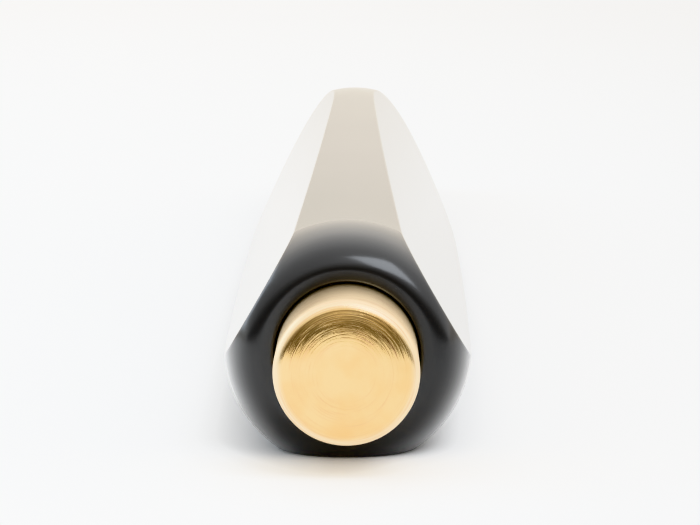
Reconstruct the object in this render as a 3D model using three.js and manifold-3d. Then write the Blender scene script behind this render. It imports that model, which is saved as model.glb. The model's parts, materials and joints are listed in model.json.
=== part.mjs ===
// A push-button ballpoint pen, in millimetres: a turned, bellied barrel with three long flats milled on it.
// The pen lies along Y: the button faces -Y, the writing tip faces +Y, and the bottom flat rests on Z = 0.
// Places along the pen are measured from the button's face, so each piece is made with Y as that distance.

import * as THREE from "three";
import { mergeVertices } from "three/addons/utils/BufferGeometryUtils.js";
import Module from "manifold-3d";

const wasm = await Module();
wasm.setup();

// Button
const buttonRadius = 3;
const buttonOut = 5.8;
const buttonRim = 0.36;
const buttonFaceWall = 1.6;
const buttonCapLength = 15;
const buttonTravel = 3.4;

// Barrel: a domed shoulder at the mouth, a belly, and a narrower end that the front section meets
const mouthGap = 0.1;
const mouthChamfer = 0.14;
const lipWidth = 0.47;
const shoulderRadius = 5.4;
const shoulderLength = 3.8;
const bellyRadius = 6.85;
const bellyFromMouth = 72.2;
const jointRadius = 4.4;
const barrelLength = 113.7;
const backCurve = 1.33;
const foreCurve = 1.85;
const mouthWallLength = 5.8;
const mainBore = 3.75;

// Flats: three, evenly round the pen, parallel to its axis
const flats = 3;
const flatDistance = 4.45;

// Front section
const spigotRadius = 3.65;
const spigotLength = 8;
const spigotChamfer = 0.2;
const bushWall = 0.4;
const sealGrooveFromJoint = 0.9;
const sealGrooveWidth = 0.45;
const sealGrooveRadius = 3.35;
const sealCord = 0.32;
const frontEdge = 0.12;
const frontStraightShare = 0.75;
const frontCurve = 4;
const noseRadius = 1.95;
const noseEdge = 0.2;
const noseHole = 1.3;
const noseLength = 5.2;
const springBore = 2.5;
const springBoreLength = 6.2;

// Click mechanism
const guideLength = 19.7;
const guideRearLength = 8.2;
const guideLand = 2.25;
const grooveRadius = 3.2;
const grooveWidth = 1.6;
const collarLength = 2;
const collarHole = 3.28;
const toothHeight = 0.6;
const teeth = 8;
const stemRadius = 2.05;
const ribSlack = 0.08;
const stemRibStop = 0.1;
const stemRibLength = 7.2;
const rotorRadius = 2.05;
const rotorLength = 13.4;
const rotorRibLength = 4.7;
const rotorNeck = 1.5;
const rotorNeckLength = 6;
const rotorGap = 0.2;

// Refill
const refillLength = 98;
const tipInset = 1.2;
const refillRadius = 2.95;
const refillWall = 0.5;
const plugHead = 1.5;
const plugSpigot = 3.7;
const neckPlug = 4;
const neckFlange = 3;
const neckRadius = 1.55;
const neckLength = 6.3;
const channelRadius = 1;
const tipRadius = 1.15;
const tipStem = 3.3;
const tipCone = 1.35;
const tipEndRadius = 0.42;
const tipChannel = 0.3;
const ballRadius = 0.35;

// Spring
const wireRadius = 0.2;
const coils = 8.5;
const springRadius = 2.1;
const springEndGap = 0.05;

// Fits: radial clearances, and the gap where one face stands before the next
const runningFit = 0.05;
const pressFit = 0.02;
const faceGap = 0.1;

// Smoothness: sides of a round piece
const barrelSides = 72;
const outerSides = 48;
const innerSides = 32;

// Places along the pen
const mouthPlace = buttonOut;
const shoulderPlace = mouthPlace + shoulderLength;
const bellyPlace = mouthPlace + bellyFromMouth;
const guidePlace = mouthPlace + mouthWallLength;
const jointPlace = mouthPlace + barrelLength;
const guideRearEnd = guidePlace + guideRearLength;
const guideEnd = guidePlace + guideLength;
const collarPlace = guideEnd + toothHeight + faceGap;
const stemRibPlace = guideRearEnd + stemRibStop;
const stemEnd = stemRibPlace + stemRibLength;
const rotorPlace = stemEnd + rotorGap;
const rotorEnd = rotorPlace + rotorLength;
const refillPlace = rotorEnd + faceGap;
const tubePlace = refillPlace + plugHead;
const tipEnd = refillPlace + refillLength;
const tipPlace = tipEnd - ballRadius - tipCone;
const penLength = tipEnd + tipInset;
const springSeat = penLength - noseLength;

// Radii that follow from others
const mouthRadius = buttonRadius + mouthGap;
const lipFlatRadius = mouthRadius + lipWidth;
const bushRadius = spigotRadius + runningFit + bushWall;
const tubeInside = refillRadius - refillWall;
const neckEnd = springSeat - buttonTravel - faceGap;
const flangeEnd = neckEnd - neckLength;
const tubeEnd = flangeEnd - neckFlange;

// A closed round piece from [radius, place] points, outer side towards the tip.
function turned(points, sides) {
  const profile = points.map(([radius, place]) => new THREE.Vector2(radius, place));
  return new THREE.LatheGeometry(profile, sides);
}

// A closed ring or tube from [radius, place] points; the profile is joined back to its start.
function ring(points, sides) {
  return turned([...points, points[0]], sides);
}

// A geometry as a solid that can be joined and cut.
function solid(geometry) {
  const bare = geometry.clone();
  bare.deleteAttribute("normal");
  bare.deleteAttribute("uv");
  const merged = mergeVertices(bare, 1e-5);
  const index = merged.index.array;
  const kept = [];
  for (let i = 0; i < index.length; i += 3) {
    const [a, b, c] = [index[i], index[i + 1], index[i + 2]];
    if (a !== b && b !== c && c !== a) {
      kept.push(a, b, c);
    }
  }
  const vertProperties = new Float32Array(merged.attributes.position.array);
  const triVerts = new Uint32Array(kept);
  return new wasm.Manifold(new wasm.Mesh({ numProp: 3, vertProperties, triVerts }));
}

// A solid back as a geometry.
function geometryOf(body) {
  const mesh = body.getMesh();
  const geometry = new THREE.BufferGeometry();
  geometry.setAttribute("position", new THREE.BufferAttribute(mesh.vertProperties, 3));
  geometry.setIndex(new THREE.BufferAttribute(mesh.triVerts, 1));
  geometry.computeVertexNormals();
  return geometry;
}

// Radius of the turned body between the shoulder and the joint: it swells to the belly and narrows again.
function bodyRadius(place) {
  if (place < bellyPlace) {
    const back = (bellyPlace - place) / (bellyPlace - shoulderPlace);
    return bellyRadius - (bellyRadius - shoulderRadius) * back ** backCurve;
  }
  const fore = (place - bellyPlace) / (jointPlace - bellyPlace);
  return bellyRadius - (bellyRadius - jointRadius) * fore ** foreCurve;
}

// Points of the shoulder's dome: a quarter of an ellipse from the flat lip to the body.
function shoulderCurve() {
  const steps = 10;
  const points = [];
  for (let step = 0; step < steps; step += 1) {
    const angle = (step * Math.PI) / 2 / steps;
    const radius = lipFlatRadius + (shoulderRadius - lipFlatRadius) * Math.sin(angle);
    points.push([radius, mouthPlace + shoulderLength * (1 - Math.cos(angle))]);
  }
  return points;
}

// Points of the body from the shoulder to the joint.
function bodyCurve() {
  const steps = 24;
  const points = [];
  for (let step = 0; step <= steps; step += 1) {
    const place = THREE.MathUtils.lerp(shoulderPlace, jointPlace, step / steps);
    points.push([bodyRadius(place), place]);
  }
  return points;
}

// The metal that a cutter takes off to leave one flat, turned round the pen from the bottom one.
function flatCut(turn) {
  const depth = bellyRadius;
  const cut = new THREE.BoxGeometry(4 * bellyRadius, penLength, depth);
  cut.translate(0, penLength / 2, flatDistance + depth / 2);
  return solid(cut.rotateY(Math.PI + turn));
}

// Barrel: the turned body with its dome, the three flats, and the stepped bore.
function barrelGeometry() {
  const body = turned([[0, mouthPlace], ...shoulderCurve(), ...bodyCurve(), [0, jointPlace]], barrelSides);
  const bore = turned([
    [0, mouthPlace - 1],
    [mouthRadius + mouthChamfer + 1, mouthPlace - 1],
    [mouthRadius + mouthChamfer, mouthPlace],
    [mouthRadius, mouthPlace + mouthChamfer],
    [mouthRadius, guidePlace],
    [mainBore, guidePlace],
    [mainBore, jointPlace - spigotLength],
    [bushRadius, jointPlace - spigotLength],
    [bushRadius, jointPlace + 1],
    [0, jointPlace + 1],
  ], outerSides);
  let barrel = solid(body);
  for (let flat = 0; flat < flats; flat += 1) {
    barrel = barrel.subtract(flatCut((flat * 2 * Math.PI) / flats));
  }
  return geometryOf(barrel.subtract(solid(bore)));
}

// Ring in the barrel's front end that takes the front section's thread.
function threadBushGeometry() {
  const start = jointPlace - spigotLength + faceGap;
  const end = jointPlace - faceGap;
  return ring([
    [spigotRadius + runningFit, start],
    [bushRadius - pressFit, start],
    [bushRadius - pressFit, end],
    [spigotRadius + runningFit, end],
  ], outerSides);
}

// Front section: spigot with the seal's groove, tapered outside, refill bore, spring seat and nose hole.
function frontSectionGeometry() {
  const bore = refillRadius + 3 * runningFit;
  const spigotStart = jointPlace - spigotLength + faceGap;
  const grooveEnd = jointPlace - sealGrooveFromJoint;
  const outside = [];
  const steps = 14;
  const noseStart = penLength - noseEdge;
  for (let step = 0; step <= steps; step += 1) {
    const along = step / steps;
    const drop = frontStraightShare * along + (1 - frontStraightShare) * along ** frontCurve;
    const radius = jointRadius - (jointRadius - noseRadius) * drop;
    outside.push([radius, THREE.MathUtils.lerp(jointPlace + frontEdge, noseStart, along)]);
  }
  return ring([
    [bore, spigotStart],
    [spigotRadius - spigotChamfer, spigotStart],
    [spigotRadius, spigotStart + spigotChamfer],
    [spigotRadius, grooveEnd - sealGrooveWidth],
    [sealGrooveRadius, grooveEnd - sealGrooveWidth],
    [sealGrooveRadius, grooveEnd],
    [spigotRadius, grooveEnd],
    [spigotRadius, jointPlace],
    [jointRadius - frontEdge, jointPlace],
    ...outside,
    [noseRadius - noseEdge, penLength],
    [noseHole, penLength],
    [noseHole, springSeat],
    [springBore, springSeat],
    [springBore, springSeat - springBoreLength],
    [bore, springSeat - springBoreLength],
  ], outerSides);
}

// O-ring in the spigot's groove.
function threadSealGeometry() {
  const middle = jointPlace - sealGrooveFromJoint - sealGrooveWidth / 2;
  const centre = spigotRadius + runningFit - 0.01 - sealCord / 2;
  const points = [];
  const sides = 10;
  for (let side = 0; side < sides; side += 1) {
    const angle = (side * 2 * Math.PI) / sides;
    const radius = centre + (sealCord / 2) * Math.sin(angle);
    points.push([radius, middle - (sealCord / 2) * Math.cos(angle)]);
  }
  return ring(points, outerSides);
}

// Brass cap of the button: a turned face, a rounded rim and a deep socket for the stem.
function buttonCapGeometry() {
  const rim = [];
  const steps = 4;
  for (let step = 0; step <= steps; step += 1) {
    const angle = (step * Math.PI) / 2 / steps;
    const radius = buttonRadius - buttonRim + buttonRim * Math.sin(angle);
    rim.push([radius, buttonRim * (1 - Math.cos(angle))]);
  }
  return turned([
    [0, 0],
    ...rim,
    [buttonRadius, buttonCapLength],
    [stemRadius + pressFit, buttonCapLength],
    [stemRadius + pressFit, buttonFaceWall],
    [0, buttonFaceWall],
  ], outerSides);
}

// Height of a pointed tooth at an angle, from 0 to 1 and back.
function pointedTooth(angle) {
  const share = (((angle * teeth) / (2 * Math.PI)) % 1 + 1) % 1;
  return 1 - Math.abs(2 * share - 1);
}

// Moves the vertices of one flat face of a round piece into teeth.
function withTeeth(geometry, place, height) {
  const position = geometry.attributes.position;
  for (let i = 0; i < position.count; i += 1) {
    if (Math.abs(position.getY(i) - place) < 1e-3) {
      const angle = Math.atan2(position.getX(i), position.getZ(i));
      const radius = Math.hypot(position.getX(i), position.getZ(i));
      const lift = radius < 1e-3 ? 0 : height * pointedTooth(angle);
      position.setY(i, place + lift);
    }
  }
  return geometry;
}

// Four ribs: a round bar cut down to a cross of two plates.
function crossRibs(radius, width, start, end) {
  const bar = solid(turned([[0, start], [radius, start], [radius, end], [0, end]], innerSides));
  const length = end - start + 1;
  const plate = new THREE.BoxGeometry(width, length, 2 * radius + 1);
  plate.translate(0, (start + end) / 2, 0);
  const crossed = plate.clone().rotateY(Math.PI / 2);
  return bar.intersect(solid(plate).add(solid(crossed)));
}

// Guide sleeve: a tube whose rear bore guides the button, with four grooves and a toothed front.
function guideSleeveGeometry() {
  const outer = mainBore - pressFit;
  const tube = withTeeth(ring([
    [guideLand, guidePlace + faceGap],
    [outer, guidePlace + faceGap],
    [outer, guideEnd],
    [guideLand, guideEnd],
  ], innerSides), guideEnd, toothHeight);
  const rearRadius = buttonRadius + runningFit;
  const rearBore = turned([
    [0, guidePlace - 1],
    [rearRadius, guidePlace - 1],
    [rearRadius, guideRearEnd],
    [0, guideRearEnd],
  ], innerSides);
  const grooves = crossRibs(grooveRadius, grooveWidth, guideRearEnd, guideEnd + toothHeight + 1);
  return geometryOf(solid(tube).subtract(solid(rearBore)).subtract(grooves));
}

// Ring pressed in against the guide sleeve.
function guideCollarGeometry() {
  return ring([
    [collarHole, collarPlace],
    [mainBore - pressFit, collarPlace],
    [mainBore - pressFit, collarPlace + collarLength],
    [collarHole, collarPlace + collarLength],
  ], innerSides);
}

// Stem pressed into the button cap, with four ribs that ride in the guide's grooves.
function plungerGeometry() {
  const stem = withTeeth(turned([
    [0, buttonFaceWall + faceGap],
    [stemRadius, buttonFaceWall + faceGap],
    [stemRadius, stemEnd],
    [rotorNeck / 2, stemEnd],
    [0, stemEnd],
  ], innerSides), stemEnd, toothHeight);
  const ribs = crossRibs(grooveRadius - ribSlack, grooveWidth - 2 * ribSlack, stemRibPlace, stemEnd);
  return geometryOf(solid(stem).add(ribs));
}

// Rotor: toothed back, four ribs and a neck that pushes the refill.
function camRotorGeometry() {
  const neckStart = rotorEnd - rotorNeckLength;
  const body = withTeeth(turned([
    [0, rotorPlace],
    [rotorNeck / 2, rotorPlace],
    [rotorRadius, rotorPlace],
    [rotorRadius, neckStart],
    [rotorNeck, neckStart + rotorRadius - rotorNeck],
    [rotorNeck, rotorEnd],
    [0, rotorEnd],
  ], innerSides), rotorPlace, toothHeight);
  const ribStart = rotorPlace + toothHeight;
  const ribs = crossRibs(grooveRadius - ribSlack, grooveWidth - 2 * ribSlack, ribStart, ribStart + rotorRibLength);
  return geometryOf(solid(body).add(ribs));
}

// Back end of the refill: a head that closes the tube and a spigot inside it.
function refillEndPlugGeometry() {
  const chamfer = 0.3;
  return turned([
    [0, refillPlace],
    [refillRadius - chamfer, refillPlace],
    [refillRadius, refillPlace + chamfer],
    [refillRadius, tubePlace],
    [tubeInside - pressFit, tubePlace],
    [tubeInside - pressFit, tubePlace + plugSpigot],
    [0, tubePlace + plugSpigot],
  ], innerSides);
}

function refillTubeGeometry() {
  return ring([
    [tubeInside, tubePlace],
    [refillRadius, tubePlace],
    [refillRadius, tubeEnd],
    [tubeInside, tubeEnd],
  ], innerSides);
}

// Ink: fills the tube between the plug and the neck, and the neck's channel.
function inkColumnGeometry() {
  const wide = tubeInside - runningFit;
  const wideEnd = tubeEnd - neckPlug - faceGap;
  const narrow = channelRadius - runningFit;
  const end = neckEnd - tipStem - faceGap;
  return turned([
    [0, tubePlace + plugSpigot + faceGap],
    [wide, tubePlace + plugSpigot + faceGap],
    [wide, wideEnd],
    [narrow, wideEnd],
    [narrow, end],
    [0, end],
  ], innerSides);
}

// Front end of the refill: a plug in the tube, the spring's flange and the narrow neck.
function refillNeckGeometry() {
  return ring([
    [channelRadius, tubeEnd - neckPlug],
    [tubeInside - pressFit, tubeEnd - neckPlug],
    [tubeInside - pressFit, tubeEnd],
    [refillRadius, tubeEnd],
    [refillRadius, flangeEnd],
    [neckRadius, flangeEnd],
    [neckRadius, neckEnd],
    [channelRadius, neckEnd],
  ], innerSides);
}

// Writing point: a stem in the neck, a straight barrel, a cone and the ball's socket.
function refillTipGeometry() {
  const socket = ballRadius + 0.03;
  const ballPlace = tipEnd - ballRadius;
  const mouth = ballPlace + 0.1;
  const points = [];
  const steps = 5;
  for (let step = 0; step <= steps; step += 1) {
    const reach = THREE.MathUtils.lerp(Math.asin(0.1 / socket), -Math.acos(tipChannel / socket), step / steps);
    points.push([socket * Math.cos(reach), ballPlace + socket * Math.sin(reach)]);
  }
  return ring([
    [tipChannel, neckEnd - tipStem],
    [channelRadius - pressFit, neckEnd - tipStem],
    [channelRadius - pressFit, neckEnd],
    [tipRadius, neckEnd],
    [tipRadius, tipPlace],
    [tipEndRadius, mouth],
    ...points,
  ], innerSides);
}

function writingBallGeometry() {
  const ball = new THREE.SphereGeometry(ballRadius, 16, 12);
  return ball.translate(0, tipEnd - ballRadius, 0);
}

// Return spring: one wire wound as a helix between the refill's flange and the seat in the nose.
function returnSpringGeometry() {
  const stepsInCurl = 8;
  const wireSides = 5;
  const start = flangeEnd + springEndGap + wireRadius;
  const end = springSeat - springEndGap - wireRadius;
  const steps = Math.round(coils * stepsInCurl);
  const points = [];
  for (let step = 0; step <= steps; step += 1) {
    const angle = (step * 2 * Math.PI) / stepsInCurl;
    const place = start + ((end - start) * step) / steps;
    points.push(new THREE.Vector3(springRadius * Math.cos(angle), place, springRadius * Math.sin(angle)));
  }
  const pitch = (end - start) / coils;
  console.log(`return spring: ${coils} curls, least gap to itself ${(pitch - 2 * wireRadius).toFixed(2)} mm`);
  const outline = [];
  for (let side = 0; side < wireSides; side += 1) {
    const angle = (side * 2 * Math.PI) / wireSides;
    outline.push(new THREE.Vector2(wireRadius * Math.cos(angle), wireRadius * Math.sin(angle)));
  }
  const extrudePath = new THREE.CatmullRomCurve3(points);
  return new THREE.ExtrudeGeometry(new THREE.Shape(outline), { steps, extrudePath, bevelEnabled: false });
}

const blackAnodised = { color: 0x16161a, roughness: 0.32, metalness: 0.3 };
const brass = { color: 0xd9ab5c, roughness: 0.28, metalness: 1 };
const bushBrass = { color: 0xb98d45, roughness: 0.4, metalness: 1 };
const paleNylon = { color: 0xe8e4da, roughness: 0.5, metalness: 0 };
const darkNylon = { color: 0x2d3a57, roughness: 0.5, metalness: 0 };
const steel = { color: 0xb4b7bb, roughness: 0.3, metalness: 1 };
const springSteel = { color: 0x8e9196, roughness: 0.35, metalness: 1 };
const blackRubber = { color: 0x0c0c0c, roughness: 0.8, metalness: 0 };
const ink = { color: 0x11142c, roughness: 0.2, metalness: 0 };
const ballCarbide = { color: 0x6f7276, roughness: 0.15, metalness: 1 };

const pieces = [
  ["barrel", barrelGeometry(), blackAnodised],
  ["thread_bush", threadBushGeometry(), bushBrass],
  ["guide_sleeve", guideSleeveGeometry(), paleNylon],
  ["guide_collar", guideCollarGeometry(), steel],
  ["button_cap", buttonCapGeometry(), brass],
  ["plunger", plungerGeometry(), paleNylon],
  ["cam_rotor", camRotorGeometry(), darkNylon],
  ["refill_end_plug", refillEndPlugGeometry(), darkNylon],
  ["refill_tube", refillTubeGeometry(), steel],
  ["ink_column", inkColumnGeometry(), ink],
  ["refill_neck", refillNeckGeometry(), bushBrass],
  ["refill_tip", refillTipGeometry(), steel],
  ["writing_ball", writingBallGeometry(), ballCarbide],
  ["return_spring", returnSpringGeometry(), springSteel],
  ["thread_seal", threadSealGeometry(), blackRubber],
  ["front_section", frontSectionGeometry(), blackAnodised],
];

const pen = new THREE.Group();
pen.position.set(0, -penLength / 2, flatDistance);
for (const [name, geometry, finish] of pieces) {
  const mesh = new THREE.Mesh(geometry, new THREE.MeshStandardMaterial(finish));
  mesh.name = name;
  pen.add(mesh);
}

export default pen;
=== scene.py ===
"""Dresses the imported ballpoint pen: black barrel with three long flats, brass button and tapered front.

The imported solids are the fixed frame. The barrel, button, front section, return spring and writing point
get fine meshes in their places; the other pieces keep their solids and get finishes. Sizes in the classes
are in millimetres, and places along the pen that the frame doesn't give are measured from the mouth.
"""
import json
import logging
import math
from dataclasses import dataclass
from enum import Enum
from functools import partial, reduce

import bmesh
import bpy
import numpy as np
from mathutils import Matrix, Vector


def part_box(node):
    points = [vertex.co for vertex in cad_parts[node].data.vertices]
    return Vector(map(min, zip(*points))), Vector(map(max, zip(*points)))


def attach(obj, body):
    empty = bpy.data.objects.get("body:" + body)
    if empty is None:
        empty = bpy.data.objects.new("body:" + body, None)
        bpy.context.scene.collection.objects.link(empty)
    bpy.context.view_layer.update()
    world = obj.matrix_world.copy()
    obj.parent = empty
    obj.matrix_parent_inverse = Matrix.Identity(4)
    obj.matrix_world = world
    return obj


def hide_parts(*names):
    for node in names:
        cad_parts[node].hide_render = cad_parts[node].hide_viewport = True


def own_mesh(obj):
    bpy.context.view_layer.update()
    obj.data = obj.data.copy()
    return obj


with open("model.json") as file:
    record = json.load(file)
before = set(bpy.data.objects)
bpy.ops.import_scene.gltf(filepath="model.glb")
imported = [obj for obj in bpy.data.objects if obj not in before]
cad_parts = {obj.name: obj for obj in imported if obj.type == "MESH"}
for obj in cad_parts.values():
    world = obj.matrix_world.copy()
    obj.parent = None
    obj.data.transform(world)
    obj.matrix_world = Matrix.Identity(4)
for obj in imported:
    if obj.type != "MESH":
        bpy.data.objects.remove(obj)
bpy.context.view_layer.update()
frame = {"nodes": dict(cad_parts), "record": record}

MM = 0.001
MERGE_DISTANCE = 1e-7
SHORTEST_EDGE = 1e-8
SHARP_ANGLE = math.radians(32)
log = logging.getLogger("pen")

Colour = tuple[float, float, float]
Triple = tuple[float, float, float]
Span = tuple[float, float]
# A point of a turned profile: its radius in millimetres and its place along Y in metres.
Point = tuple[float, float]
Profile = list[Point]
Socket = bpy.types.NodeSocket
Sockets = bpy.types.bpy_prop_collection


class Body(Enum):
    """The bodies that new pieces ride on."""

    BARREL = "barrel"
    BUTTON = "button"
    REFILL = "refill"
    FRONT = "front"


class Slot(Enum):
    """The record's material slots."""

    BLACK = "black_anodised"
    BRASS = "polished_brass"
    BUSH_BRASS = "bush_brass"
    PALE_NYLON = "pale_nylon"
    DARK_NYLON = "dark_nylon"
    STEEL = "steel"
    SPRING_STEEL = "spring_steel"
    RUBBER = "black_rubber"
    INK = "ink"
    CARBIDE = "ball_carbide"


@dataclass(frozen=True)
class PenFrame:
    """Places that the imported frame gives, in metres."""

    axis_height: float
    face_y: float
    mouth_y: float
    joint_y: float
    nose_y: float
    spring_low_y: float
    spring_high_y: float
    tip_low_y: float
    tip_high_y: float
    button_radius: float
    belly_radius: float
    cap_length: float

    @classmethod
    def measured(cls) -> "PenFrame":
        """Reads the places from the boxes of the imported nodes.

        Returns:
            The pen's places and the radii that the boxes show.
        """
        cap_low, cap_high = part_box("button_cap")
        barrel_low, barrel_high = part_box("barrel")
        spring_low, spring_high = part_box("return_spring")
        tip_low, tip_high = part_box("refill_tip")
        axis_height = (cap_low.z + cap_high.z) / 2
        return cls(
            axis_height=axis_height,
            face_y=cap_low.y,
            mouth_y=barrel_low.y,
            joint_y=barrel_high.y,
            nose_y=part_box("front_section")[1].y,
            spring_low_y=spring_low.y,
            spring_high_y=spring_high.y,
            tip_low_y=tip_low.y,
            tip_high_y=tip_high.y,
            button_radius=(cap_high.z - cap_low.z) / 2,
            belly_radius=barrel_high.z - axis_height,
            cap_length=cap_high.y - cap_low.y,
        )


@dataclass
class TreeBuilder:
    """Adds nodes and links to a geometry or shader tree in a few words."""

    tree: bpy.types.NodeTree

    def socket(self, name: str, kind: str, inward: bool = True) -> None:
        """Adds an input to the tree's interface, or an output where it isn't inward."""
        way = "INPUT" if inward else "OUTPUT"
        self.tree.interface.new_socket(name, in_out=way, socket_type=kind)

    def numbers(self, *names: str, inward: bool = True) -> None:
        """Adds number inputs or outputs to the tree's interface."""
        for name in names:
            self.socket(name, "NodeSocketFloat", inward)

    def feed(self, target: Socket, value: object) -> None:
        """Links a socket, or sets its value where the source is a plain value.

        Args:
            target: The input to feed.
            value: A socket, number, vector or colour.
        """
        if isinstance(value, Socket):
            self.tree.links.new(value, target)
        else:
            target.default_value = value

    def fill(self, node: bpy.types.Node, values: dict[str | int, object]) -> None:
        """Feeds a node's inputs, by name or number, from sockets or plain values."""
        for name, value in values.items():
            self.feed(node.inputs[name], value)

    def node(
        self, kind: str, values: dict[str | int, object] | None = None, **settings: object
    ) -> bpy.types.Node:
        """Adds a node.

        Args:
            kind: The node's type.
            values: Sockets or plain values for its inputs, by name or number.
            **settings: Properties of the node by name.

        Returns:
            The new node.
        """
        made = self.tree.nodes.new(kind)
        for key, value in settings.items():
            setattr(made, key, value)
        self.fill(made, values or {})
        return made

    def maths(self, operation: str, *values: object) -> Socket:
        """The result of an operation on sockets or numbers."""
        return self.node("ShaderNodeMath", dict(enumerate(values)), operation=operation).outputs[0]

    def product(self, *factors: object) -> Socket:
        """Sockets or numbers multiplied in their order."""
        return reduce(partial(self.maths, "MULTIPLY"), factors)

    def vector(self, operation: str, *values: object) -> Socket:
        """The result of an operation on vectors."""
        made = self.node("ShaderNodeVectorMath", dict(enumerate(values)), operation=operation)
        return made.outputs["Value" if operation in ("DOT_PRODUCT", "LENGTH") else "Vector"]

    def scaled(self, vector: object, factor: object) -> Socket:
        """A vector times a number."""
        values = {0: vector, "Scale": factor}
        return self.node("ShaderNodeVectorMath", values, operation="SCALE").outputs["Vector"]

    def combined(self, x: object, y: object, z: object) -> Socket:
        """A vector from its three components."""
        return self.node("ShaderNodeCombineXYZ", {"X": x, "Y": y, "Z": z}).outputs[0]

    def separated(self, vector: Socket) -> list[Socket]:
        """The three components of a vector."""
        return list(self.node("ShaderNodeSeparateXYZ", {0: vector}).outputs)

    def noise(self, vector: Socket, scale: object, detail: float) -> Socket:
        """A noise from 0 to 1, read at a place."""
        values = {"Vector": vector, "Scale": scale, "Detail": detail}
        return self.node("ShaderNodeTexNoise", values, noise_dimensions="3D").outputs[0]

    def mapped(
        self, value: object, low: float, high: float, to_low: object = 0.0, to_high: object = 1.0
    ) -> Socket:
        """A value carried from one range to another and held inside it."""
        values = dict(enumerate((value, low, high, to_low, to_high)))
        return self.node("ShaderNodeMapRange", values, clamp=True).outputs[0]


class GeometryTools:
    """Geometry node trees, and what carries them out."""

    @staticmethod
    def tree(name: str, *sizes: str) -> tuple[TreeBuilder, Sockets]:
        """Starts a geometry tree with inputs for the geometry, its material and its sizes.

        Args:
            name: The tree's name.
            *sizes: The names of its number inputs.

        Returns:
            Its builder and what its inputs give.
        """
        builder = TreeBuilder(bpy.data.node_groups.new(name, "GeometryNodeTree"))
        builder.socket("Geometry", "NodeSocketGeometry")
        builder.socket("Geometry", "NodeSocketGeometry", inward=False)
        builder.socket("Material", "NodeSocketMaterial")
        builder.numbers(*sizes)
        return builder, builder.node("NodeGroupInput").outputs

    @staticmethod
    def close(builder: TreeBuilder, given: Sockets, geometry: Socket) -> None:
        """Ends a tree in Realize Instances and Set Material.

        Args:
            builder: The tree's builder.
            given: What its inputs give.
            geometry: The geometry to put out.
        """
        realized = builder.node("GeometryNodeRealizeInstances", {"Geometry": geometry})
        values = {"Geometry": realized.outputs[0], "Material": given["Material"]}
        coated = builder.node("GeometryNodeSetMaterial", values)
        builder.node("NodeGroupOutput", {"Geometry": coated.outputs[0]})

    @staticmethod
    def apply(piece: bpy.types.Object, tree: bpy.types.NodeTree, **values: object) -> None:
        """Runs a tree on a piece once and leaves a plain mesh.

        Args:
            piece: The object to change.
            tree: The geometry tree.
            **values: The tree's inputs, named with underscores for spaces.
        """
        modifier = piece.modifiers.new(tree.name, "NODES")
        modifier.node_group = tree
        wanted = {name.replace("_", " "): value for name, value in values.items()}
        for item in tree.interface.items_tree:
            if item.item_type == "SOCKET" and item.in_out == "INPUT" and item.name in wanted:
                modifier[item.identifier] = wanted.pop(item.name)
        assert not wanted, f"{tree.name} has no input named {sorted(wanted)}"
        shown = piece.evaluated_get(bpy.context.evaluated_depsgraph_get())
        mesh = bpy.data.meshes.new_from_object(shown)
        piece.modifiers.remove(modifier)
        piece.data = mesh
        smooth(mesh)


def smooth(mesh: bpy.types.Mesh) -> None:
    """Shades a mesh smooth between its sharp edges."""
    mesh.shade_smooth()
    mesh.set_sharp_from_angle(angle=SHARP_ANGLE)


def linked(name: str, data: bpy.types.ID) -> bpy.types.Object:
    """Makes an object of a mesh, camera or light and puts it in the scene.

    Args:
        name: The object's name.
        data: What it shows.

    Returns:
        The new object.
    """
    made = bpy.data.objects.new(name, data)
    bpy.context.collection.objects.link(made)
    return made


def turned(
    name: str, profile: Profile, angles: np.ndarray, pen: PenFrame, closed: bool = False
) -> bpy.types.Object:
    """A turned body: a profile carried round the pen's axis.

    Args:
        name: The new object's name.
        profile: The profile's points in order.
        angles: The angles of the columns, one row for all profile points or a row for each.
        pen: The pen's places.
        closed: True where the profile joins back to its start.

    Returns:
        The new object, with its normals pointing out.
    """
    radii, places = (np.array(values)[:, None] for values in zip(*profile))
    turns = np.broadcast_to(angles, (len(profile), angles.shape[-1]))
    x = radii * MM * np.cos(turns)
    z = pen.axis_height + radii * MM * np.sin(turns)
    points = np.stack([x, np.broadcast_to(places, turns.shape), z], axis=-1).reshape(-1, 3)
    grid = np.arange(turns.size).reshape(turns.shape)
    if closed:
        grid = np.vstack([grid, grid[:1]])
    grid = np.hstack([grid, grid[:, :1]])
    corners = (grid[:-1, :-1], grid[1:, :-1], grid[1:, 1:], grid[:-1, 1:])
    faces = np.stack(corners, axis=-1).reshape(-1, 4)
    mesh = bpy.data.meshes.new(name)
    mesh.from_pydata(points.tolist(), [], faces.tolist())
    work = bmesh.new()
    work.from_mesh(mesh)
    bmesh.ops.remove_doubles(work, verts=work.verts, dist=MERGE_DISTANCE)
    bmesh.ops.dissolve_degenerate(work, edges=work.edges, dist=SHORTEST_EDGE)
    bmesh.ops.recalc_face_normals(work, faces=work.faces)
    work.to_mesh(mesh)
    work.free()
    smooth(mesh)
    return linked(name, mesh)


def even_angles(columns: int) -> np.ndarray:
    """Angles spaced evenly round a full turn, one for each column."""
    return np.linspace(0, 2 * math.pi, columns, endpoint=False)


def eased(share: float | np.ndarray, straight: float, power: float = 2) -> float | np.ndarray:
    """A share from 0 to 1 that grows partly in a straight line and partly with a power."""
    return straight * share + (1 - straight) * share**power


def rounded(centre: Point, size: float, start: float, end: float, steps: int) -> Profile:
    """An arc of a profile between angles in degrees, where 0 points off the axis and 90 to the tip."""
    turns = np.radians(np.linspace(start, end, steps + 1))
    return [(centre[0] + size * math.cos(t), centre[1] + size * MM * math.sin(t)) for t in turns]


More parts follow.
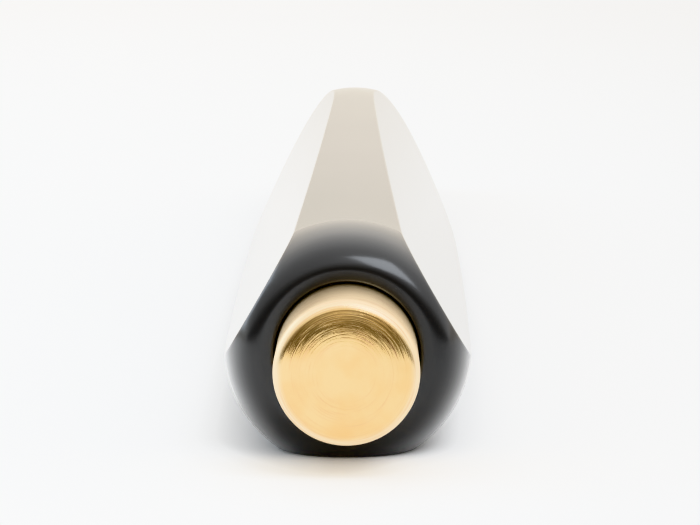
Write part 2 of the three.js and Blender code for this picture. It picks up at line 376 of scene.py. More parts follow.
@dataclass
class SurfaceEffects:
    """Shader node groups that the finishes share, each built once.

    The spans of patches, streaks, smudges and hairlines are the part of a noise that becomes 0 to 1.
    """

    pen: PenFrame
    patch_scale: float = 0.02
    patch_span: Span = (0.35, 0.65)
    side_from_face: Span = (0.165, 0.275)
    calm_radii: Span = (0.9, 1.53)
    calm_level: float = 0.12
    wander: float = 0.7
    streak_stretch: Triple = (0.8, 1.4, 1.4)
    streak_span: Span = (0.54, 0.68)
    smudge_span: Span = (0.42, 0.66)
    hair_density: Triple = (9000.0, 140.0, 9000.0)
    hair_span: Span = (0.66, 0.72)

    def __post_init__(self) -> None:
        """Builds the groups."""
        self.grain = self._grain()
        self.turning = self._turning()
        self.handling = self._handling()

    @staticmethod
    def _group(name: str, size: str, *effects: str) -> tuple[TreeBuilder, Sockets]:
        """Starts a shader group with a Position input.

        Args:
            name: The group's name.
            size: The name of the input that sets the effect's size.
            *effects: The names of its outputs.

        Returns:
            Its builder and what its inputs give.
        """
        builder = TreeBuilder(bpy.data.node_groups.new(name, "ShaderNodeTree"))
        builder.socket("Position", "NodeSocketVector")
        builder.numbers(size)
        builder.numbers(*effects, inward=False)
        return builder, builder.node("NodeGroupInput").outputs

    def _grain(self) -> bpy.types.NodeTree:
        """Fine grain: an even, very small unevenness of a satin or moulded surface.

        Returns:
            The group, with the outputs Height and Patches.
        """
        builder, given = self._group("fine_grain", "Grain Size", "Height", "Patches")
        position = given["Position"]
        scale = builder.maths("DIVIDE", 1.0, given["Grain Size"])
        height = builder.noise(position, scale, detail=3)
        wide = builder.product(scale, self.patch_scale)
        patches = builder.mapped(builder.noise(position, wide, detail=4), *self.patch_span)
        builder.node("NodeGroupOutput", {"Height": height, "Patches": patches})
        return builder.tree

    def _turning(self) -> bpy.types.NodeTree:
        """Marks of a turning tool: long arcs round the axis that start and fade at random.

        Returns:
            The group, with the outputs Height, Streaks (a mask for painted dark reflections) and, past the
            button's face, Off Face.
        """
        builder, given = self._group("turning_marks", "Marks per mm", "Height", "Streaks", "Off Face")
        x, y, z = builder.separated(given["Position"])
        spoke = builder.combined(x, 0.0, builder.maths("SUBTRACT", z, self.pen.axis_height))
        radius = builder.vector("LENGTH", spoke)
        across = builder.maths("ADD", radius, y)
        density = builder.product(given["Marks per mm"], 1 / MM)
        way_x, _, way_z = builder.separated(builder.vector("NORMALIZE", spoke))
        fine = builder.combined(
            builder.product(across, density),
            builder.product(way_x, self.wander),
            builder.product(way_z, self.wander),
        )
        calm, lively = (size * MM for size in self.calm_radii)
        clear = builder.mapped(radius, calm, lively, self.calm_level)
        height = builder.noise(fine, 1.0, detail=3)
        coarse = builder.vector("MULTIPLY", fine, self.streak_stretch)
        # Streaks: a mask along the marks where a finish paints a darker colour, a painted dark reflection;
        # the marks' height is a real bump.
        streaks = builder.mapped(builder.noise(coarse, 1.0, detail=4), *self.streak_span)
        start, end = (self.pen.face_y + depth * MM for depth in self.side_from_face)
        marks = {
            "Height": builder.product(height, clear),
            "Streaks": builder.product(streaks, clear),
            "Off Face": builder.mapped(y, start, end),
        }
        builder.node("NodeGroupOutput", marks)
        return builder.tree

    def _handling(self) -> bpy.types.NodeTree:
        """Marks of use: soft smudges, and hairlines mostly along the pen.

        Returns:
            The group, with the outputs Smudge and Hairlines.
        """
        builder, given = self._group("handling_marks", "Smudge Size", "Smudge", "Hairlines")
        position = given["Position"]
        scale = builder.maths("DIVIDE", 1.0, given["Smudge Size"])
        smudge = builder.mapped(builder.noise(position, scale, detail=1), *self.smudge_span)
        drawn = builder.vector("MULTIPLY", position, self.hair_density)
        lines = builder.mapped(builder.noise(drawn, 1.0, detail=2), *self.hair_span)
        builder.node("NodeGroupOutput", {"Smudge": smudge, "Hairlines": lines})
        return builder.tree


@dataclass(frozen=True)
class Finish:
    """A metal or plastic finish with grain, turning marks and marks of use.

    A surface has two shades that its patches lie between, a roughness and how far it varies, and the
    depth of its grain and of its turning marks. The side values are for a turned piece past its face:
    a rougher side, and a paler colour painted on it as a painted sheen for the bright light it catches.
    The streak colour is a painted dark reflection laid along the turning marks.
    """

    name: str
    shade: Colour
    other_shade: Colour
    roughness: float
    roughness_spread: float
    metallic: float = 0.0
    grain_mm: float = 0.05
    grain_depth_mm: float = 0.0006
    marks_per_mm: float = 0.0
    mark_depth_mm: float = 0.0
    # Painted reflection: the darker colour laid along the turning marks' streaks.
    painted_streak_shade: Colour | None = None
    specular: float = 0.5
    smudge_mm: float = 6.0
    side_roughness: float = 0.0
    # Painted sheen: the paler colour that the side past the face is mixed towards, and how far.
    painted_side_sheen: Colour | None = None
    side_cover: float = 0.85
    hair_share: float = 0.12
    coat: float = 0.0
    coat_roughness: float = 0.1

    def build(self, effects: SurfaceEffects) -> bpy.types.Material:
        """Makes the material.

        Args:
            effects: The shared surface effects.

        Returns:
            The new material.
        """
        material = bpy.data.materials.new(self.name)
        material.use_nodes = True
        builder = TreeBuilder(material.node_tree)
        grain = self._placed(builder, effects.grain, "Grain Size", self.grain_mm * MM)
        handling = self._placed(builder, effects.handling, "Smudge Size", self.smudge_mm * MM)
        shades = (*self.shade, 1.0), (*self.other_shade, 1.0)
        colour = self._mixed(builder, grain["Patches"], *shades)
        roughest = self.roughness + self.roughness_spread
        rough = builder.mapped(handling["Smudge"], 0.0, 1.0, self.roughness, roughest)
        hair = builder.product(handling["Hairlines"], self.hair_share * self.roughness_spread)
        rough = builder.maths("ADD", rough, hair)
        normal = self._bumped(builder, grain["Height"], self.grain_depth_mm)
        if self.marks_per_mm:
            marks = self._placed(builder, effects.turning, "Marks per mm", self.marks_per_mm)
            off_face = marks["Off Face"]
            rough = builder.maths("ADD", rough, builder.product(off_face, self.side_roughness))
            normal = self._bumped(builder, marks["Height"], self.mark_depth_mm, Normal=normal)
            # Painted sheen: past the face, the colour is mixed towards a paler side colour that stands for
            # the bright light the turned side catches.
            if self.painted_side_sheen:
                painted_sheen_share = builder.product(off_face, self.side_cover)
                colour = self._mixed(builder, painted_sheen_share, colour, (*self.painted_side_sheen, 1.0))
            # Painted reflection: the streaks along the turning marks get a darker colour, standing for the
            # dark surround that the marks reflect; their bump above is real.
            if self.painted_streak_shade:
                colour = self._mixed(builder, marks["Streaks"], colour, (*self.painted_streak_shade, 1.0))
        surface = {
            "Base Color": colour,
            "Roughness": rough,
            "Normal": normal,
            "Metallic": self.metallic,
            "Specular IOR Level": self.specular,
            "Coat Weight": self.coat,
            "Coat Roughness": self.coat_roughness,
        }
        builder.fill(material.node_tree.nodes["Principled BSDF"], surface)
        return material

    @staticmethod
    def _placed(
        builder: TreeBuilder, effect: bpy.types.NodeTree, size_name: str, size: float
    ) -> Sockets:
        """Places a shared effect in the material, sets its size and gives its outputs."""
        values = {"Position": builder.node("ShaderNodeTexCoord").outputs["Object"], size_name: size}
        return builder.node("ShaderNodeGroup", values, node_tree=effect).outputs

    @staticmethod
    def _bumped(builder: TreeBuilder, height: Socket, depth_mm: float, **under: Socket) -> Socket:
        """A normal that follows a height, over the one that is given as Normal where there is one."""
        values = {"Strength": 1.0, "Distance": depth_mm * MM, "Height": height, **under}
        return builder.node("ShaderNodeBump", values).outputs[0]

    @staticmethod
    def _mixed(builder: TreeBuilder, factor: object, first: object, second: object) -> Socket:
        """A colour between two.

        Args:
            builder: The material's builder.
            factor: How far the second colour shows.
            first: A colour or its socket.
            second: A colour or its socket.

        Returns:
            The mixed colour.
        """
        mix = builder.node("ShaderNodeMix", data_type="RGBA")
        sockets = {socket.identifier: socket for socket in (*mix.inputs, *mix.outputs)}
        for name, value in (("Factor_Float", factor), ("A_Color", first), ("B_Color", second)):
            builder.feed(sockets[name], value)
        return sockets["Result_Color"]


FINISHES: dict[Slot, Finish] = {
    Slot.BLACK: Finish(
        "black_satin", (0.006, 0.0061, 0.0065), (0.0125, 0.0126, 0.013), 0.3, 0.02,
        grain_mm=0.25, grain_depth_mm=0.00004, smudge_mm=14.0, specular=0.16, coat=1.0, coat_roughness=0.175,
    ),
    Slot.BRASS: Finish(
        # Painted reflection: this brass's streak colour darkens the turning marks, standing for the dark
        # surround they reflect.
        "turned_brass", (0.96, 0.69, 0.32), (0.9, 0.59, 0.24), 0.05, 0.03, metallic=1.0,
        grain_mm=0.03, grain_depth_mm=0.0003, marks_per_mm=24.0, mark_depth_mm=0.0072,
        # Painted sheen: the side colour below paints the button's side pale for the bright light it catches.
        painted_streak_shade=(0.66, 0.41, 0.21), side_roughness=0.27, painted_side_sheen=(0.95, 0.8, 0.56),
    ),
    Slot.BUSH_BRASS: Finish(
        "machined_brass", (0.72, 0.52, 0.24), (0.64, 0.45, 0.2), 0.3, 0.08, metallic=1.0,
        marks_per_mm=9.0, mark_depth_mm=0.003,
    ),
    Slot.PALE_NYLON: Finish(
        "moulded_pale_nylon", (0.74, 0.72, 0.65), (0.7, 0.68, 0.61), 0.42, 0.1, grain_mm=0.09,
        grain_depth_mm=0.002,
    ),
    Slot.DARK_NYLON: Finish(
        "moulded_dark_nylon", (0.03, 0.045, 0.1), (0.024, 0.036, 0.085), 0.4, 0.1, grain_mm=0.09,
        grain_depth_mm=0.002,
    ),
    Slot.STEEL: Finish(
        "drawn_steel", (0.58, 0.59, 0.6), (0.5, 0.51, 0.53), 0.24, 0.08, metallic=1.0,
        marks_per_mm=11.0, mark_depth_mm=0.0015,
    ),
    Slot.SPRING_STEEL: Finish(
        "spring_wire", (0.42, 0.43, 0.45), (0.34, 0.35, 0.37), 0.26, 0.1, metallic=1.0, grain_mm=0.03,
    ),
    Slot.RUBBER: Finish(
        "seal_rubber", (0.011, 0.011, 0.011), (0.016, 0.016, 0.016), 0.6, 0.15, grain_mm=0.03,
        grain_depth_mm=0.003,
    ),
    Slot.INK: Finish("thick_ink", (0.008, 0.01, 0.03), (0.01, 0.013, 0.04), 0.12, 0.05, grain_mm=0.5),
    Slot.CARBIDE: Finish(
        "ground_carbide", (0.3, 0.31, 0.32), (0.26, 0.27, 0.28), 0.16, 0.08, metallic=1.0, grain_mm=0.02,
    ),
}


@dataclass
class Wardrobe:
    """The materials of all slots, built once, and what puts them on pieces."""

    pen: PenFrame

    def __post_init__(self) -> None:
        """Builds every finish."""
        effects = SurfaceEffects(self.pen)
        self.materials = {slot: finish.build(effects) for slot, finish in FINISHES.items()}

    def dress(self, piece: bpy.types.Object, slot: Slot) -> None:
        """Gives a piece the finish of a slot."""
        piece.data.materials.clear()
        piece.data.materials.append(self.materials[slot])

    def dress_new(self, piece: bpy.types.Object, slot: Slot, body: Body, *nodes: str) -> None:
        """Dresses a new piece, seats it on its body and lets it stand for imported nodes.

        Args:
            piece: The new object.
            slot: The record's slot of its finish.
            body: The body that it rides on.
            *nodes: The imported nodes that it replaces.
        """
        self.dress(piece, slot)
        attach(piece, body.value)
        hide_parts(*nodes)
        log.info("%s: %d faces, rides on %s", piece.name, len(piece.data.polygons), body.value)


@dataclass
class Assembly:
    """What every sub-assembly works from: the pen's places and the finishes."""

    pen: PenFrame
    wardrobe: Wardrobe


@dataclass
class Barrel(Assembly):
    """The barrel: a turned body with a domed shoulder and a belly, and three long flats milled on it.

    The first openings are half angles in degrees: the shoulder has a row where a flat is that wide.
    """

    shoulder_radius: float = 5.4
    shoulder_length: float = 3.8
    belly_from_mouth: float = 72.2
    joint_radius: float = 4.4
    back_curve: float = 1.33
    fore_curve: float = 1.85
    mouth_gap: float = 0.1
    mouth_round: float = 0.14
    mouth_straight: float = 0.6
    lip_width: float = 0.47
    lip_flat: float = 0.12
    mouth_wall: float = 5.8
    main_bore: float = 3.75
    bush_bore: float = 4.1
    spigot_length: float = 8.0
    joint_edge: float = 0.06
    flats: int = 3
    ridge_softness: float = 0.09
    first_openings: tuple[float, ...] = (0, 1.5, 3, 5, 7, 9, 11, 13, 15)
    shoulder_rows: int = 45
    body_rows: int = 90
    round_steps: int = 8
    columns_on_flat: int = 24
    columns_beside: int = 36
    column_evenness: float = 0.6
    least_opening: float = 0.02

    @property
    def flat_distance(self) -> float:
        """The flats' distance from the axis in millimetres: the pen rests on one of them."""
        return self.pen.axis_height / MM

    @property
    def belly_radius(self) -> float:
        """The belly's radius in millimetres."""
        return self.pen.belly_radius / MM

    def body_radius(self, place: float) -> float:
        """The turned body's radius.

        Args:
            place: A place between the shoulder and the joint, in millimetres from the mouth.

        Returns:
            The radius in millimetres.
        """
        joint = (self.pen.joint_y - self.pen.mouth_y) / MM
        if place < self.belly_from_mouth:
            back = (self.belly_from_mouth - place) / (self.belly_from_mouth - self.shoulder_length)
            return self.belly_radius - (self.belly_radius - self.shoulder_radius) * back**self.back_curve
        fore = min((place - self.belly_from_mouth) / (joint - self.belly_from_mouth), 1.0)
        return self.belly_radius - (self.belly_radius - self.joint_radius) * fore**self.fore_curve

    def outside(self) -> Profile:
        """The outside from the lip to the joint, with extra rows where a flat first opens on the shoulder.

        Returns:
            The points in order.
        """
        mouth = self.pen.mouth_y
        lip = self.pen.button_radius / MM + self.mouth_gap + self.lip_width
        rise = self.shoulder_radius - lip
        turns = set(np.radians(np.linspace(0, 90, self.shoulder_rows)).tolist())
        for opening in self.first_openings:
            radius = self.flat_distance / math.cos(math.radians(opening))
            turns.add(math.asin((radius - lip) / rise))
        points: Profile = []
        for turn in sorted(turns):
            depth = self.shoulder_length * MM * (1 - math.cos(turn))
            points.append((lip + rise * math.sin(turn), mouth + depth))
        length = (self.pen.joint_y - mouth) / MM - self.joint_edge - self.shoulder_length
        for step in np.linspace(0, 1, self.body_rows)[1:]:
            place = self.shoulder_length + length * math.sin(step * math.pi / 2)
            points.append((self.body_radius(place), mouth + place * MM))
        return points

    def inside(self) -> Profile:
        """The joint's face, the stepped bore and the mouth, back to the lip.

        Returns:
            The points in order.
        """
        mouth, joint = self.pen.mouth_y, self.pen.joint_y
        bore = self.pen.button_radius / MM + self.mouth_gap
        counterbore = joint - self.spigot_length * MM
        wall = mouth + self.mouth_wall * MM
        centre = (bore + self.mouth_round, mouth + self.mouth_round * MM)
        return [
            (self.joint_radius - self.joint_edge, joint),
            (self.bush_bore, joint),
            (self.bush_bore, counterbore),
            (self.main_bore, counterbore),
            (self.main_bore, wall),
            (bore, wall),
            (bore, mouth + (self.mouth_round + self.mouth_straight) * MM),
            *rounded(centre, self.mouth_round, 180, 270, self.round_steps),
            (bore + self.mouth_round + self.lip_flat, mouth),
        ]

    def column_angles(self, radius: float) -> np.ndarray:
        """Angles of a row's columns, gathered where the flats' ridges will run.

        Args:
            radius: The row's radius in millimetres.

        Returns:
            The angles round the pen.
        """
        share = min(self.flat_distance / radius, 1.0)
        opening = max(math.acos(share), self.least_opening)
        half = math.pi / self.flats
        on_flat = opening * np.sin(np.linspace(-math.pi / 2, math.pi / 2, self.columns_on_flat + 1))
        steps = np.linspace(0, 1, self.columns_beside + 1)[1:]
        beside = opening + (half - opening) * eased(steps, self.column_evenness)
        sector = np.concatenate([-beside[::-1], on_flat, beside[:-1]])
        return np.concatenate([sector + middle for middle in self.flat_directions()])

    def flat_directions(self) -> list[float]:
        """Angles at which the flats face: the first one is the bottom."""
        return [-math.pi / 2 + flat * 2 * math.pi / self.flats for flat in range(self.flats)]

    def milling_tree(self) -> bpy.types.NodeTree:
        """A tree that mills the flats: what stands past a flat's plane moves back onto it.

        Returns:
            The tree, with inputs for the flats' distance, the ridges' softness and the axis height.
        """
        builder, given = GeometryTools.tree("mill_flats", "Flat Distance", "Ridge Softness", "Axis Height")
        geometry = given["Geometry"]
        centre = builder.combined(0.0, 0.0, given["Axis Height"])
        for turn in self.flat_directions():
            facing = (math.cos(turn), 0.0, math.sin(turn))
            place = builder.vector("SUBTRACT", builder.node("GeometryNodeInputPosition").outputs[0], centre)
            reach = builder.vector("DOT_PRODUCT", place, facing)
            past = builder.maths("SUBTRACT", reach, given["Flat Distance"])
            cut = builder.maths("SMOOTH_MAX", past, 0.0, given["Ridge Softness"])
            back = builder.scaled(facing, builder.product(cut, -1.0))
            milled = builder.node("GeometryNodeSetPosition", {"Geometry": geometry, "Offset": back})
            geometry = milled.outputs[0]
        GeometryTools.close(builder, given, geometry)
        return builder.tree

    def build(self) -> None:
        """Makes and dresses the barrel."""
        outside, inside = self.outside(), self.inside()
        rows = [self.column_angles(radius) for radius, _ in outside]
        rows += [self.column_angles(self.flat_distance)] * len(inside)
        piece = turned("barrel_body", outside + inside, np.array(rows), self.pen, closed=True)
        GeometryTools.apply(
            piece,
            self.milling_tree(),
            Material=self.wardrobe.materials[Slot.BLACK],
            Flat_Distance=self.flat_distance * MM,
            Ridge_Softness=self.ridge_softness * MM,
            Axis_Height=self.pen.axis_height,
        )
        self.wardrobe.dress_new(piece, Slot.BLACK, Body.BARREL, "barrel")


@dataclass
class Button(Assembly):
    """The brass button: a cap whose face falls away round a flat middle and ends in a round rim."""

    rim: float = 0.45
    flat_middle: float = 0.8
    edge_lean: float = 14.0
    crown_power: float = 2.7
    face_wall: float = 1.6
    socket_radius: float = 2.07
    face_rows: int = 40
    rim_steps: int = 12
    side_rows: int = 12
    columns: int = 160

    def profile(self) -> Profile:
        """The cap's profile, from the middle of its face round the side and into the plunger's socket.

        Returns:
            The points in order.
        """
        radius = self.pen.button_radius / MM
        face = self.pen.face_y
        edge = radius - self.rim
        crown = edge - self.flat_middle
        turn = math.radians(self.edge_lean)
        drop = math.tan(turn) * crown / self.crown_power
        points: Profile = [(0.0, face)]
        for share in np.linspace(0, 1, self.face_rows)[1:]:
            past = max(0.0, edge * share - self.flat_middle) / crown
            points.append((edge * share, face + drop * MM * past**self.crown_power))
        centre = (edge - self.rim * math.sin(turn), points[-1][1] + self.rim * MM * math.cos(turn))
        rim = rounded(centre, self.rim, -90 + self.edge_lean, 0, self.rim_steps)[1:]
        grown = (radius - centre[0]) / self.rim
        points += [(centre[0] + (spot - centre[0]) * grown, place) for spot, place in rim]
        end = face + self.pen.cap_length
        for share in np.linspace(0, 1, self.side_rows)[1:]:
            points.append((radius, points[-1][1] + (end - points[-1][1]) * share))
        socket_end = face + self.face_wall * MM
        return points + [(self.socket_radius, end), (self.socket_radius, socket_end), (0.0, socket_end)]

    def build(self) -> None:
        """Makes and dresses the button cap."""
        piece = turned("button", self.profile(), even_angles(self.columns), self.pen)
        self.wardrobe.dress_new(piece, Slot.BRASS, Body.BUTTON, "button_cap")


@dataclass
class FrontSection(Assembly):
    """The front section: a tapered nose and a spigot with a thread and a groove for its seal."""

    joint_radius: float = Barrel.joint_radius
    straight_share: float = 0.75
    front_curve: float = 4.0
    nose_radius: float = 1.95
    nose_round: float = 0.22
    joint_edge: float = 0.08
    nose_hole: float = 1.3
    hole_round: float = 0.1
    nose_length: float = 5.2
    spring_bore: float = 2.5
    spring_bore_length: float = 6.2
    refill_bore: float = 3.1
    spigot_radius: float = 3.65
    spigot_length: float = 7.9
    spigot_chamfer: float = 0.2
    groove_from_joint: float = 0.9
    groove_width: float = 0.45
    groove_radius: float = 3.35
    thread_pitch: float = 1.0
    thread_depth: float = 0.22
    thread_run: float = 0.6
    thread_reach: float = 0.02
    spigot_rows: int = 90
    cone_rows: int = 48
    nose_steps: int = 8
    hole_steps: int = 4
    columns: int = 144

    def thread_tree(self) -> bpy.types.NodeTree:
        """A tree that cuts the thread: one groove that winds round the spigot once in each pitch.

        Returns:
            The tree, with inputs for the thread's sizes and where it starts and ends.
        """
        sizes = ("Pitch", "Depth", "Start", "End", "Spigot Radius", "Axis Height")
        builder, given = GeometryTools.tree("cut_thread", *sizes)
        pitch = given["Pitch"]
        x, y, z = builder.separated(builder.node("GeometryNodeInputPosition").outputs[0])
        lifted = builder.maths("SUBTRACT", z, given["Axis Height"])
        spoke = builder.combined(x, 0.0, lifted)
        turn = builder.maths("DIVIDE", builder.maths("ARCTAN2", x, lifted), 2 * math.pi)
        along = builder.maths("DIVIDE", y, pitch)
        wave = builder.maths("PINGPONG", builder.maths("SUBTRACT", along, turn), 0.5)
        run_in = builder.maths("SUBTRACT", y, given["Start"])
        run_out = builder.maths("SUBTRACT", given["End"], y)
        room = builder.maths("DIVIDE", builder.maths("MINIMUM", run_in, run_out), pitch)
        share = builder.mapped(room, 0.0, self.thread_run)
        radius = builder.vector("LENGTH", spoke)
        near = builder.maths("COMPARE", radius, given["Spigot Radius"], self.thread_reach * MM)
        cut = builder.product(wave, 2.0, given["Depth"], share, near, -1.0)
        inward = builder.scaled(builder.vector("NORMALIZE", spoke), cut)
        moved = builder.node("GeometryNodeSetPosition", {"Geometry": given["Geometry"], "Offset": inward})
        GeometryTools.close(builder, given, moved.outputs[0])
        return builder.tree

    def profile(self) -> Profile:
        """The section's closed profile, from the spigot's end out to the nose and back through the bore.

        Returns:
            The points in order.
        """
        joint, nose = self.pen.joint_y, self.pen.nose_y
        start = joint - self.spigot_length * MM
        groove_end = joint - self.groove_from_joint * MM
        groove_start = groove_end - self.groove_width * MM
        points: Profile = [
            (self.refill_bore, start),
            (self.spigot_radius - self.spigot_chamfer, start),
        ]
        for place in np.linspace(start + self.spigot_chamfer * MM, groove_start, self.spigot_rows):
            points.append((self.spigot_radius, float(place)))
        points += [
            (self.groove_radius, groove_start),
            (self.groove_radius, groove_end),
            (self.spigot_radius, groove_end),
            (self.spigot_radius, joint),
            (self.joint_radius - self.joint_edge, joint),
        ]
        cone_start = joint + self.joint_edge * MM
        cone_end = nose - self.nose_round * MM
        for along in np.linspace(0, 1, self.cone_rows):
            drop = eased(along, self.straight_share, self.front_curve)
            radius = self.joint_radius - (self.joint_radius - self.nose_radius) * drop
            points.append((radius, cone_start + (cone_end - cone_start) * along))
        nose_centre = (self.nose_radius - self.nose_round, cone_end)
        points += rounded(nose_centre, self.nose_round, 0, 90, self.nose_steps)[1:]
        hole_centre = (self.nose_hole + self.hole_round, nose - self.hole_round * MM)
        points += rounded(hole_centre, self.hole_round, 90, 180, self.hole_steps)
        seat = nose - self.nose_length * MM
        bore_step = seat - self.spring_bore_length * MM
        return points + [
            (self.nose_hole, seat),
            (self.spring_bore, seat),
            (self.spring_bore, bore_step),
            (self.refill_bore, bore_step),
        ]

    def build(self) -> None:
        """Makes and dresses the front section."""
        piece = turned("front_cone", self.profile(), even_angles(self.columns), self.pen, closed=True)
        joint = self.pen.joint_y
        GeometryTools.apply(
            piece,
            self.thread_tree(),
            Material=self.wardrobe.materials[Slot.BLACK],
            Pitch=self.thread_pitch * MM,
            Depth=self.thread_depth * MM,
            Start=joint - self.spigot_length * MM,
            End=joint - (self.groove_from_joint + self.groove_width) * MM,
            Spigot_Radius=self.spigot_radius * MM,
            Axis_Height=self.pen.axis_height,
        )
        self.wardrobe.dress_new(piece, Slot.BLACK, Body.FRONT, "front_section")


@dataclass
class ReturnSpring(Assembly):
    """The return spring between the refill's flange and the seat in the nose."""

    coils: float = 8.5
    mean_radius: float = 2.1
    wire_radius: float = 0.2
    travel: float = 3.4
    steps_in_coil: int = 36
    wire_sides: int = 12

    def winding_tree(self) -> bpy.types.NodeTree:
        """A tree that winds wire into a helix along Y.

        Returns:
            The tree, with inputs for the spring's sizes and place.
        """
        sizes = ("Coils", "Mean Radius", "Wire Radius", "Length", "Start", "Axis Height")
        builder, given = GeometryTools.tree("wind_spring", *sizes)
        helix = builder.node("GeometryNodeCurveSpiral", {
            "Resolution": self.steps_in_coil,
            "Rotations": given["Coils"],
            "Start Radius": given["Mean Radius"],
            "End Radius": given["Mean Radius"],
            "Height": given["Length"],
        })
        wire = builder.node("GeometryNodeCurvePrimitiveCircle", {
            "Resolution": self.wire_sides,
            "Radius": given["Wire Radius"],
        })
        wound = builder.node("GeometryNodeCurveToMesh", {
            "Curve": helix.outputs[0],
            "Profile Curve": wire.outputs[0],
            "Fill Caps": True,
        })
        laid = builder.node("GeometryNodeTransform", {
            "Geometry": wound.outputs[0],
            "Translation": builder.combined(0.0, given["Start"], given["Axis Height"]),
            "Rotation": (-math.pi / 2, 0, 0),
        })
        GeometryTools.close(builder, given, laid.outputs[0])
        return builder.tree

    def build(self) -> None:
        """Makes and dresses the spring, which rides on the refill as one piece."""
        piece = linked("coil_spring", bpy.data.meshes.new("coil_spring"))
        low, high = self.pen.spring_low_y, self.pen.spring_high_y
        GeometryTools.apply(
            piece,
            self.winding_tree(),
            Material=self.wardrobe.materials[Slot.SPRING_STEEL],
            Coils=self.coils,
            Mean_Radius=self.mean_radius * MM,
            Wire_Radius=self.wire_radius * MM,
            Length=high - low - 2 * self.wire_radius * MM,
            Start=low + self.wire_radius * MM,
            Axis_Height=self.pen.axis_height,
        )
        self.wardrobe.dress_new(piece, Slot.SPRING_STEEL, Body.REFILL, "return_spring")
        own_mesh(piece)


@dataclass
class WritingPoint(Assembly):
    """The writing point: a stem, a straight part and a cone with a rolled edge round the ball's socket."""

    radius: float = 1.15
    edge: float = 0.06
    stem_radius: float = 0.98
    stem_length: float = 3.3
    cone_length: float = 1.35
    cone_straightness: float = 0.88
    ball_radius: float = 0.35
    end_radius: float = 0.42
    channel: float = 0.3
    socket_slack: float = 0.03
    mouth_past_ball: float = 0.1
    cone_rows: int = 14
    socket_steps: int = 8
    columns: int = 72

    def build(self) -> None:
        """Makes and dresses the point."""
        low, mouth = self.pen.tip_low_y, self.pen.tip_high_y
        ball = mouth - self.mouth_past_ball * MM
        cone = ball - self.cone_length * MM
        step = low + self.stem_length * MM
        socket = self.ball_radius + self.socket_slack
        points: Profile = [
            (self.channel, low),
            (self.stem_radius, low),
            (self.stem_radius, step),
            (self.radius - self.edge, step),
            (self.radius, step + self.edge * MM),
            (self.radius, cone),
        ]
        for along in np.linspace(0, 1, self.cone_rows)[1:]:
            narrowed = eased(along, self.cone_straightness)
            radius = self.radius - (self.radius - self.end_radius) * narrowed
            points.append((radius, cone + (mouth - cone) * along))
        start = math.degrees(math.asin(self.mouth_past_ball / socket))
        end = -math.degrees(math.acos(self.channel / socket))
        points += rounded((0.0, ball), socket, start, end, self.socket_steps)
        piece = turned("writing_point", points, even_angles(self.columns), self.pen, closed=True)
        self.wardrobe.dress_new(piece, Slot.STEEL, Body.REFILL, "refill_tip")


@dataclass
class InnerPieces(Assembly):
    """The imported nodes: those that no fine mesh stands for keep their solids."""

    def build(self) -> None:
        """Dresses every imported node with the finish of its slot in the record."""
        for part in frame["record"]["subparts"]:
            slot = Slot(part["material_slot"])
            self.wardrobe.dress(frame["nodes"][part["node"]], slot)
            log.info("%s: %s", part["node"], slot.value)


@dataclass(frozen=True)
class Softbox:
    """A square light that faces the pen, with its place and side in millimetres."""

    name: str
    place: Triple
    side: float
    watts: float
    colour: Colour

    def build(self) -> None:
        """Makes the light."""
        data = bpy.data.lights.new(self.name, "AREA")
        data.size = self.side * MM
        data.energy = self.watts
        data.color = self.colour
        light = linked(self.name, data)
        light.location = tuple(value * MM for value in self.place)
        light.rotation_euler = (-light.location).to_track_quat("-Z", "Y").to_euler()


@dataclass
class Floor:
    """The pale floor that the pen rests on: faintly clouded, with painted light brighter on the left.

    The tones change with how far aside a point is for its reach, its distance from a line behind the
    camera.
    """

    half: float = 4000.0
    reach_from: float = 330.0
    least_reach: float = 150.0
    aside_span: Span = (-0.06, 0.11)
    tone: float = 0.86
    tone_shares: Span = (1.1, 0.8)
    cloud_scale: float = 9.0
    cloud_span: Span = (0.3, 0.7)
    cloud_levels: Span = (0.99, 1.01)
    roughness: float = 0.7
    specular: float = 0.2

    def finish(self) -> bpy.types.Material:
        """Makes the floor's material.

        Returns:
            The new material.
        """
        material = bpy.data.materials.new("pale_floor")
        material.use_nodes = True
        builder = TreeBuilder(material.node_tree)
        position = builder.node("ShaderNodeTexCoord").outputs["Object"]
        cloud = builder.noise(position, self.cloud_scale, detail=3)
        across, along, _ = builder.separated(position)
        reach = builder.maths("ADD", along, self.reach_from * MM)
        reach = builder.maths("MAXIMUM", reach, self.least_reach * MM)
        aside = builder.maths("DIVIDE", across, reach)
        # Painted light: the floor's colour runs from lighter on the left to darker on the right, a painted
        # fall of the light across it.
        left, right = (share * self.tone for share in self.tone_shares)
        tone = builder.mapped(aside, *self.aside_span, left, right)
        level = builder.mapped(cloud, *self.cloud_span, *self.cloud_levels)
        tone = builder.product(tone, level)
        surface = {
            "Base Color": builder.combined(tone, tone, tone),
            "Roughness": self.roughness,
            "Specular IOR Level": self.specular,
        }
        builder.fill(material.node_tree.nodes["Principled BSDF"], surface)
        return material

    def build(self) -> None:
        """Makes the floor."""
        half = self.half * MM
        corners = [(-half, -half, 0), (half, -half, 0), (half, half, 0), (-half, half, 0)]
        mesh = bpy.data.meshes.new("floor")
        mesh.from_pydata(corners, [], [(0, 1, 2, 3)])
        mesh.materials.append(self.finish())
        floor = linked("floor", mesh)


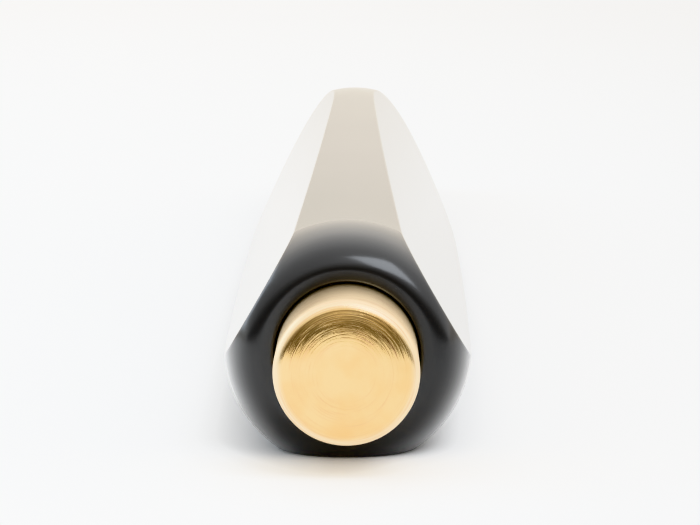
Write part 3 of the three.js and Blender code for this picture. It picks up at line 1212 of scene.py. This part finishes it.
@dataclass
class Surround:
    """What the pen mirrors: bright overhead, warm at the horizon and dark low on the camera's side.

    A stop gives an angle in degrees, from the horizon past the pen's tip over the top to the one on the
    camera's side, and how strong and how warm the surround is there.
    """

    stops: tuple[Triple, ...] = (
        (0, 1.02, 1.0),
        (9, 1.04, 1.0),
        (26, 1.45, 0.8),
        (43, 2.0, 0.4),
        (71, 1.95, 0.0),
        (86, 1.75, 0.0),
        (112, 1.65, 0.0),
        (140, 1.5, 0.0),
        (157, 0.8, 0.4),
        (168, 0.21, 0.9),
        (180, 0.18, 0.9),
    )
    full_angle: float = 180.0
    full_strength: float = 2.5
    warm_red: float = 0.08
    warm_blue: float = 0.12
    left_end: float = -0.7
    left_share: float = 0.8

    def build(self) -> None:
        """Makes the surround, a little weaker towards the left."""
        world = bpy.data.worlds.new("studio")
        bpy.context.scene.world = world
        world.use_nodes = True
        builder = TreeBuilder(world.node_tree)
        way = builder.node("ShaderNodeTexCoord").outputs["Generated"]
        aside, along, up = builder.separated(way)
        turn = builder.maths("ARCTAN2", builder.maths("MAXIMUM", up, 0.0), along)
        ramp = builder.node("ShaderNodeValToRGB", {0: builder.maths("DIVIDE", turn, math.pi)})
        elements = ramp.color_ramp.elements
        while len(elements) < len(self.stops):
            elements.new(1.0)
        for element, (degrees, strength, warmth) in zip(elements, self.stops):
            level = strength / self.full_strength
            red = level * (1 + self.warm_red * warmth)
            blue = level * (1 - self.warm_blue * warmth)
            element.position = degrees / self.full_angle
            element.color = (red, level, blue, 1.0)
        weakest = self.left_share * self.full_strength
        strength = builder.mapped(aside, self.left_end, 0.0, weakest, self.full_strength)
        background = world.node_tree.nodes["Background"]
        builder.fill(background, {"Color": ramp.outputs[0], "Strength": strength})


@dataclass
class Studio:
    """The photograph's camera, with the floor, the surround and the soft light."""

    pen: PenFrame
    focal_pixels: float = 3300.0
    picture_width: int = 700
    sensor: float = 36.0
    nearest: float = 10.0
    camera_back: float = 132.3
    camera_above_axis: float = 18.95
    camera_side: float = 0.807
    camera_pitch: float = 6.204
    camera_yaw: float = 0.285
    lights: tuple[Softbox, ...] = (
        Softbox("window", place=(150, -270, 320), side=240, watts=0.85, colour=(0.86, 0.92, 1.0)),
        Softbox("blue_fill", place=(-420, 120, 190), side=300, watts=0.8, colour=(0.72, 0.86, 1.0)),
    )
    view_transform: str = "Khronos PBR Neutral"

    def camera(self) -> None:
        """Makes the camera at the photograph's viewpoint."""
        data = bpy.data.cameras.new("photo_camera")
        data.sensor_width = self.sensor
        data.lens = self.focal_pixels / self.picture_width * self.sensor
        data.clip_start = self.nearest * MM
        camera = linked("photo_camera", data)
        camera.location = (
            self.camera_side * MM,
            self.pen.face_y - self.camera_back * MM,
            self.pen.axis_height + self.camera_above_axis * MM,
        )
        camera.rotation_euler = (math.radians(90 - self.camera_pitch), 0, math.radians(self.camera_yaw))
        bpy.context.scene.camera = camera

    def build(self) -> None:
        """Makes the camera, the floor, the surround and the lights."""
        self.camera()
        for piece in (Floor(), Surround(), *self.lights):
            piece.build()
        bpy.context.scene.view_settings.view_transform = self.view_transform


def main() -> None:
    """Builds the pen's sub-assemblies in order, then the studio."""
    logging.basicConfig(level=logging.INFO, format="%(name)s: %(message)s")
    pen = PenFrame.measured()
    wardrobe = Wardrobe(pen)
    for assembly in (InnerPieces, Barrel, Button, FrontSection, ReturnSpring, WritingPoint):
        assembly(pen, wardrobe).build()
    Studio(pen).build()


if __name__ == "__main__":
    main()
